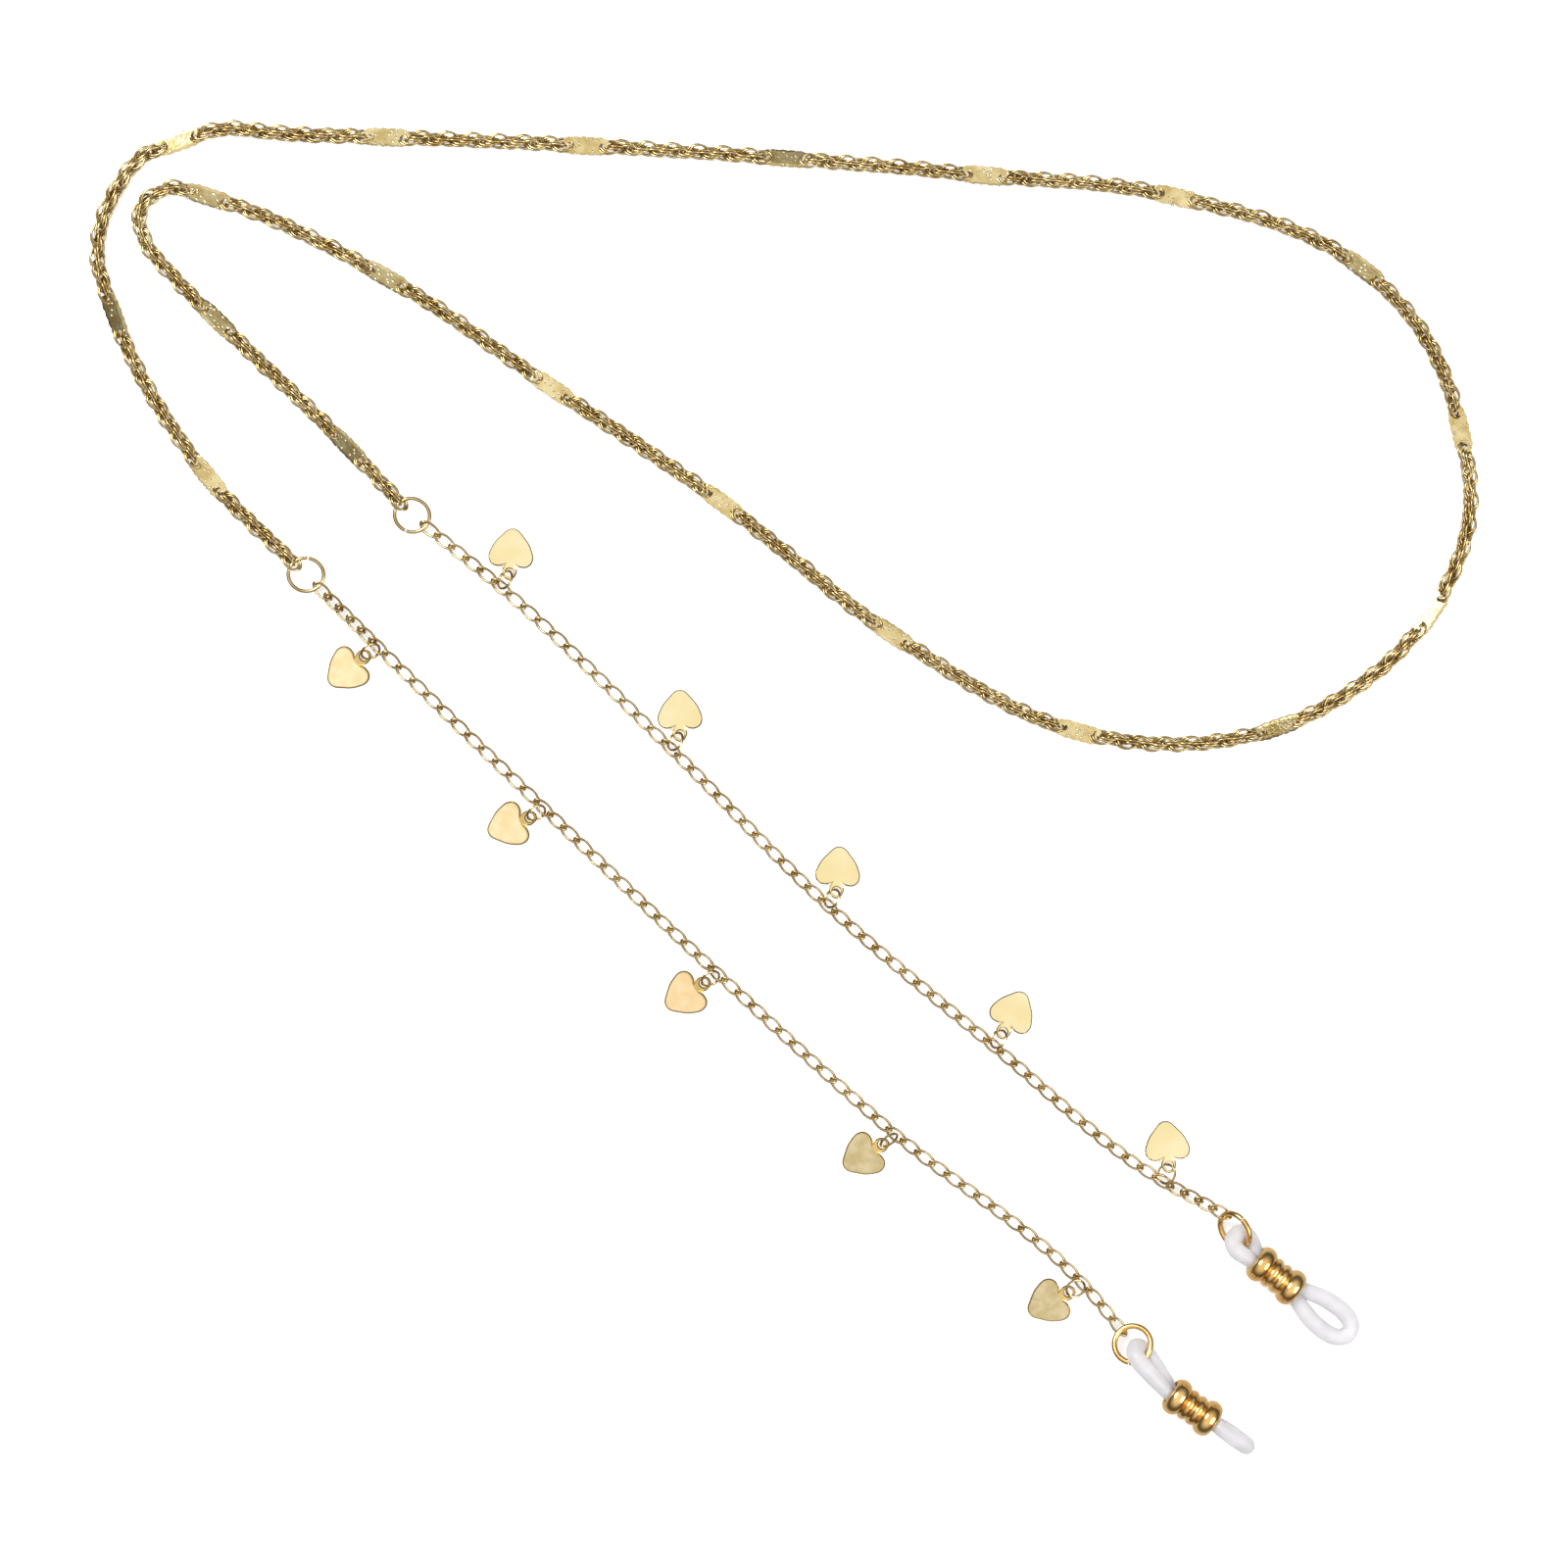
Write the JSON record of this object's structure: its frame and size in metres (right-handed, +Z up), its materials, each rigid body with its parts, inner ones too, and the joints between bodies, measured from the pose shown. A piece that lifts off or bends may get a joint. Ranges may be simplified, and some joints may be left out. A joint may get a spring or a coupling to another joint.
{
  "type": "eyeglasses chain strap",
  "caption": "Gold-toned eyeglasses chain strap: link neck chain with flat bars, two curb strands with heart charms, end rings, ribbed beads and soft temple loops, laid flat.",
  "frame": {"origin": "middle of the strap's footprint, on the surface it lies on", "axes": "+Z up from the surface; +X to the right of the laid-out strap, towards the turn of the neck chain; +Y towards the neck chain's back run"},
  "size_m": [0.1638, 0.1569, 0.0052],
  "materials": {
    "neck_chain": "gold-toned drawn wire, polished",
    "strand_chain": "gold-toned drawn wire, polished",
    "stamped_bar": "gold-toned stamped sheet, lightly hammered",
    "jump_rings": "gold-toned drawn wire, polished",
    "polished_heart": "gold-toned stamped sheet, mirror polished",
    "brushed_heart": "gold-toned stamped sheet, brushed face and bright edge",
    "end_ring": "deep gold plated wire, polished",
    "bead": "deep gold plated, polished",
    "silicone": "translucent milky silicone, smooth"
  },
  "bodies": {
    "neck_middle": {"neck_bars_09_11": "stamped_bar", "neck_links_09_11": "neck_chain"},
    "neck_front": {"neck_bars_03_05": "stamped_bar", "neck_links_03_05": "neck_chain", "neck_bars_06_08": "stamped_bar", "neck_links_06_08": "neck_chain"},
    "neck_start": {"neck_bars_01_02": "stamped_bar", "neck_links_01_02": "neck_chain"},
    "neck_back_1": {"neck_bars_12_13": "stamped_bar", "neck_links_12_13": "neck_chain"},
    "neck_back_2": {"neck_bars_14_15": "stamped_bar", "neck_links_14_15": "neck_chain"},
    "neck_back_3": {"neck_bars_16_17": "stamped_bar", "neck_links_16_17": "neck_chain"},
    "neck_back_4": {"neck_bars_18": "stamped_bar", "neck_links_18": "neck_chain"},
    "neck_end": {"neck_bars_19_20": "stamped_bar", "neck_links_19_20": "neck_chain"},
    "junction_ring_a": {"junction_ring_a": "jump_rings"},
    "strand_a_1": {"strand_a_1": "strand_chain"},
    "strand_a_2": {"strand_a_2": "strand_chain"},
    "strand_a_3": {"strand_a_3": "strand_chain"},
    "strand_a_4": {"strand_a_4": "strand_chain"},
    "strand_a_5": {"strand_a_5": "strand_chain"},
    "strand_a_6": {"strand_a_6": "strand_chain"},
    "jump_ring_a1": {"jump_ring_a1": "jump_rings"},
    "heart_a1": {"heart_a1": "polished_heart"},
    "jump_ring_a2": {"jump_ring_a2": "jump_rings"},
    "heart_a2": {"heart_a2": "polished_heart"},
    "jump_ring_a3": {"jump_ring_a3": "jump_rings"},
    "heart_a3": {"heart_a3": "polished_heart"},
    "jump_ring_a4": {"jump_ring_a4": "jump_rings"},
    "heart_a4": {"heart_a4": "polished_heart"},
    "jump_ring_a5": {"jump_ring_a5": "jump_rings"},
    "heart_a5": {"heart_a5": "polished_heart"},
    "end_ring_a": {"end_ring_a": "end_ring"},
    "temple_loop_a": {"temple_loop_a": "silicone"},
    "bead_a": {"bead_a": "bead"},
    "junction_ring_b": {"junction_ring_b": "jump_rings"},
    "strand_b_1": {"strand_b_1": "strand_chain"},
    "strand_b_2": {"strand_b_2": "strand_chain"},
    "strand_b_3": {"strand_b_3": "strand_chain"},
    "strand_b_4": {"strand_b_4": "strand_chain"},
    "strand_b_5": {"strand_b_5": "strand_chain"},
    "strand_b_6": {"strand_b_6": "strand_chain"},
    "jump_ring_b1": {"jump_ring_b1": "jump_rings"},
    "heart_b1": {"heart_b1": "brushed_heart"},
    "jump_ring_b2": {"jump_ring_b2": "jump_rings"},
    "heart_b2": {"heart_b2": "brushed_heart"},
    "jump_ring_b3": {"jump_ring_b3": "jump_rings"},
    "heart_b3": {"heart_b3": "brushed_heart"},
    "jump_ring_b4": {"jump_ring_b4": "jump_rings"},
    "heart_b4": {"heart_b4": "brushed_heart"},
    "jump_ring_b5": {"jump_ring_b5": "jump_rings"},
    "heart_b5": {"heart_b5": "brushed_heart"},
    "end_ring_b": {"end_ring_b": "end_ring"},
    "temple_loop_b": {"temple_loop_b": "silicone"},
    "bead_b": {"bead_b": "bead"}
  },
  "joints": [
    {"name": "neck_front_lift", "type": "hinge", "parent": "neck_middle", "child": "neck_front", "pos_m": [0.05659, 0.00638, 0.00072], "axis": [-0.1736, 0.9848, 0], "range_deg": [0, 12]},
    {"name": "neck_start_lift", "type": "hinge", "parent": "neck_front", "child": "neck_start", "pos_m": [-0.06801, 0.05602, 0.00072], "axis": [-0.6915, -0.7223, 0], "range_deg": [0, 12]},
    {"name": "neck_back_1_lift", "type": "hinge", "parent": "neck_middle", "child": "neck_back_1", "pos_m": [0.06943, 0.0598, 0.00072], "axis": [-0.0349, 0.9994, 0], "range_deg": [0, 12]},
    {"name": "neck_back_2_lift", "type": "hinge", "parent": "neck_back_1", "child": "neck_back_2", "pos_m": [0.02531, 0.07173, 0.00072], "axis": [-0.2588, 0.9659, 0], "range_deg": [0, 9]},
    {"name": "neck_back_3_lift", "type": "hinge", "parent": "neck_back_2", "child": "neck_back_3", "pos_m": [-0.02168, 0.07528, 0.00072], "axis": [-0.5, 0.866, 0], "range_deg": [0, 9]},
    {"name": "neck_back_4_lift", "type": "hinge", "parent": "neck_back_3", "child": "neck_back_4", "pos_m": [-0.06978, 0.07643, 0.00072], "axis": [-0.6691, 0.7431, 0], "range_deg": [0, 9]},
    {"name": "neck_end_lift", "type": "hinge", "parent": "neck_back_4", "child": "neck_end", "pos_m": [-0.07939, 0.05692, 0.00072], "axis": [-0.766, -0.6428, 0], "range_deg": [0, 12]},
    {"name": "junction_ring_a_swing", "type": "hinge", "parent": "neck_start", "child": "junction_ring_a", "pos_m": [-0.04519, 0.03333, 0.00076], "axis": [-0.7311, -0.6823, 0], "range_deg": [0, 15]},
    {"name": "strand_a_1_lift", "type": "hinge", "parent": "junction_ring_a", "child": "strand_a_1", "pos_m": [-0.04227, 0.03062, 0.00066], "axis": [-0.6264, -0.7795, 0], "range_deg": [0, 12]},
    {"name": "strand_a_2_lift", "type": "hinge", "parent": "strand_a_1", "child": "strand_a_2", "pos_m": [-0.03247, 0.02261, 0.00072], "axis": [-0.6601, -0.7512, 0], "range_deg": [0, 12]},
    {"name": "strand_a_3_lift", "type": "hinge", "parent": "strand_a_2", "child": "strand_a_3", "pos_m": [-0.01256, 0.0036, 0.00072], "axis": [-0.7051, -0.7091, 0], "range_deg": [0, 12]},
    {"name": "strand_a_4_lift", "type": "hinge", "parent": "strand_a_3", "child": "strand_a_4", "pos_m": [0.00596, -0.01484, 0.00072], "axis": [-0.6689, -0.7434, 0], "range_deg": [0, 12]},
    {"name": "strand_a_5_lift", "type": "hinge", "parent": "strand_a_4", "child": "strand_a_5", "pos_m": [0.02548, -0.03132, 0.00072], "axis": [-0.6474, -0.7622, 0], "range_deg": [0, 12]},
    {"name": "strand_a_6_lift", "type": "hinge", "parent": "strand_a_5", "child": "strand_a_6", "pos_m": [0.04548, -0.04709, 0.00075], "axis": [-0.4945, -0.8692, 0], "range_deg": [0, 12]},
    {"name": "end_ring_a_swing", "type": "hinge", "parent": "strand_a_6", "child": "end_ring_a", "pos_m": [0.05187, -0.05043, 0.00175], "axis": [-0.4612, -0.8873, 0], "range_deg": [0, 20]},
    {"name": "temple_loop_a_swing", "type": "hinge", "parent": "end_ring_a", "child": "temple_loop_a", "pos_m": [0.05407, -0.05405, 0.00225], "axis": [-0.5099, -0.4129, -0.7547], "range_deg": [0, 30]},
    {"name": "bead_a_slide", "type": "slide", "parent": "temple_loop_a", "child": "bead_a", "axis": [0.7826, -0.6225, 0], "range_m": [0, 0.003], "deforming": ["temple_loop_a"]},
    {"name": "jump_ring_a1_swing", "type": "hinge", "parent": "strand_a_1", "child": "jump_ring_a1", "pos_m": [-0.03318, 0.02363, 0.00082], "axis": [0.866, -0.5, 0], "range_deg": [0, 20]},
    {"name": "heart_a1_swing", "type": "hinge", "parent": "jump_ring_a1", "child": "heart_a1", "pos_m": [-0.03235, 0.02507, 0.00075], "axis": [0.866, -0.5, 0], "range_deg": [0, 15]},
    {"name": "jump_ring_a2_swing", "type": "hinge", "parent": "strand_a_2", "child": "jump_ring_a2", "pos_m": [-0.01317, 0.00462, 0.00082], "axis": [0.8387, -0.5446, 0], "range_deg": [0, 20]},
    {"name": "heart_a2_swing", "type": "hinge", "parent": "jump_ring_a2", "child": "heart_a2", "pos_m": [-0.01226, 0.00601, 0.00075], "axis": [0.8387, -0.5446, 0], "range_deg": [0, 15]},
    {"name": "jump_ring_a3_swing", "type": "hinge", "parent": "strand_a_3", "child": "jump_ring_a3", "pos_m": [0.00532, -0.01387, 0.00082], "axis": [0.866, -0.5, 0], "range_deg": [0, 20]},
    {"name": "heart_a3_swing", "type": "hinge", "parent": "jump_ring_a3", "child": "heart_a3", "pos_m": [0.00615, -0.01243, 0.00075], "axis": [0.866, -0.5, 0], "range_deg": [0, 15]},
    {"name": "jump_ring_a4_swing", "type": "hinge", "parent": "strand_a_4", "child": "jump_ring_a4", "pos_m": [0.02484, -0.03038, 0.00082], "axis": [0.8192, -0.5736, 0], "range_deg": [0, 20]},
    {"name": "heart_a4_swing", "type": "hinge", "parent": "jump_ring_a4", "child": "heart_a4", "pos_m": [0.02579, -0.02902, 0.00075], "axis": [0.8192, -0.5736, 0], "range_deg": [0, 15]},
    {"name": "jump_ring_a5_swing", "type": "hinge", "parent": "strand_a_5", "child": "jump_ring_a5", "pos_m": [0.04477, -0.04635, 0.00082], "axis": [0.9397, -0.342, 0], "range_deg": [0, 20]},
    {"name": "heart_a5_swing", "type": "hinge", "parent": "jump_ring_a5", "child": "heart_a5", "pos_m": [0.04534, -0.04479, 0.00075], "axis": [0.9397, -0.342, 0], "range_deg": [0, 15]},
    {"name": "junction_ring_b_swing", "type": "hinge", "parent": "neck_end", "child": "junction_ring_b", "pos_m": [-0.05777, 0.02626, 0.00076], "axis": [-0.6962, -0.7179, 0], "range_deg": [0, 15]},
    {"name": "strand_b_1_lift", "type": "hinge", "parent": "junction_ring_b", "child": "strand_b_1", "pos_m": [-0.05492, 0.02346, 0.00066], "axis": [-0.7075, -0.7067, 0], "range_deg": [0, 12]},
    {"name": "strand_b_2_lift", "type": "hinge", "parent": "strand_b_1", "child": "strand_b_2", "pos_m": [-0.04702, 0.01557, 0.00072], "axis": [-0.7029, -0.7113, 0], "range_deg": [0, 12]},
    {"name": "strand_b_3_lift", "type": "hinge", "parent": "strand_b_2", "child": "strand_b_3", "pos_m": [-0.02755, -0.00338, 0.00072], "axis": [-0.6935, -0.7204, 0], "range_deg": [0, 12]},
    {"name": "strand_b_4_lift", "type": "hinge", "parent": "strand_b_3", "child": "strand_b_4", "pos_m": [-0.00703, -0.02287, 0.00072], "axis": [-0.6806, -0.7327, 0], "range_deg": [0, 12]},
    {"name": "strand_b_5_lift", "type": "hinge", "parent": "strand_b_4", "child": "strand_b_5", "pos_m": [0.01402, -0.0418, 0.00072], "axis": [-0.6222, -0.7828, 0], "range_deg": [0, 12]},
    {"name": "strand_b_6_lift", "type": "hinge", "parent": "strand_b_5", "child": "strand_b_6", "pos_m": [0.03589, -0.05944, 0.00077], "axis": [-0.7533, -0.6577, 0], "range_deg": [0, 12]},
    {"name": "end_ring_b_swing", "type": "hinge", "parent": "strand_b_6", "child": "end_ring_b", "pos_m": [0.03977, -0.06413, 0.0011], "axis": [-0.7707, -0.6372, 0], "range_deg": [0, 20]},
    {"name": "temple_loop_b_swing", "type": "hinge", "parent": "end_ring_b", "child": "temple_loop_b", "pos_m": [0.04222, -0.06723, 0.00259], "axis": [-0.788, -0.6157, 0], "range_deg": [0, 30]},
    {"name": "bead_b_slide", "type": "slide", "parent": "temple_loop_b", "child": "bead_b", "axis": [0.8192, -0.5736, 0], "range_m": [-0.003, 0.0005], "deforming": ["temple_loop_b"]},
    {"name": "jump_ring_b1_swing", "type": "hinge", "parent": "strand_b_1", "child": "jump_ring_b1", "pos_m": [-0.04808, 0.0162, 0.00082], "axis": [-0.5736, 0.8192, 0], "range_deg": [0, 20]},
    {"name": "heart_b1_swing", "type": "hinge", "parent": "jump_ring_b1", "child": "heart_b1", "pos_m": [-0.04944, 0.01525, 0.00075], "axis": [-0.5736, 0.8192, 0], "range_deg": [0, 15]},
    {"name": "jump_ring_b2_swing", "type": "hinge", "parent": "strand_b_2", "child": "jump_ring_b2", "pos_m": [-0.02858, -0.0028, 0.00082], "axis": [-0.5736, 0.8192, 0], "range_deg": [0, 20]},
    {"name": "heart_b2_swing", "type": "hinge", "parent": "jump_ring_b2", "child": "heart_b2", "pos_m": [-0.02994, -0.00375, 0.00075], "axis": [-0.5736, 0.8192, 0], "range_deg": [0, 15]},
    {"name": "jump_ring_b3_swing", "type": "hinge", "parent": "strand_b_3", "child": "jump_ring_b3", "pos_m": [-0.00808, -0.0223, 0.00082], "axis": [-0.5736, 0.8192, 0], "range_deg": [0, 20]},
    {"name": "heart_b3_swing", "type": "hinge", "parent": "jump_ring_b3", "child": "heart_b3", "pos_m": [-0.00944, -0.02325, 0.00075], "axis": [-0.5736, 0.8192, 0], "range_deg": [0, 15]},
    {"name": "jump_ring_b4_swing", "type": "hinge", "parent": "strand_b_4", "child": "jump_ring_b4", "pos_m": [0.01292, -0.0413, 0.00082], "axis": [-0.5736, 0.8192, 0], "range_deg": [0, 20]},
    {"name": "heart_b4_swing", "type": "hinge", "parent": "jump_ring_b4", "child": "heart_b4", "pos_m": [0.01156, -0.04225, 0.00075], "axis": [-0.5736, 0.8192, 0], "range_deg": [0, 15]},
    {"name": "jump_ring_b5_swing", "type": "hinge", "parent": "strand_b_5", "child": "jump_ring_b5", "pos_m": [0.03492, -0.05879, 0.00082], "axis": [-0.5299, 0.848, 0], "range_deg": [0, 20]},
    {"name": "heart_b5_swing", "type": "hinge", "parent": "jump_ring_b5", "child": "heart_b5", "pos_m": [0.03351, -0.05967, 0.00075], "axis": [-0.5299, 0.848, 0], "range_deg": [0, 15]}
  ]
}
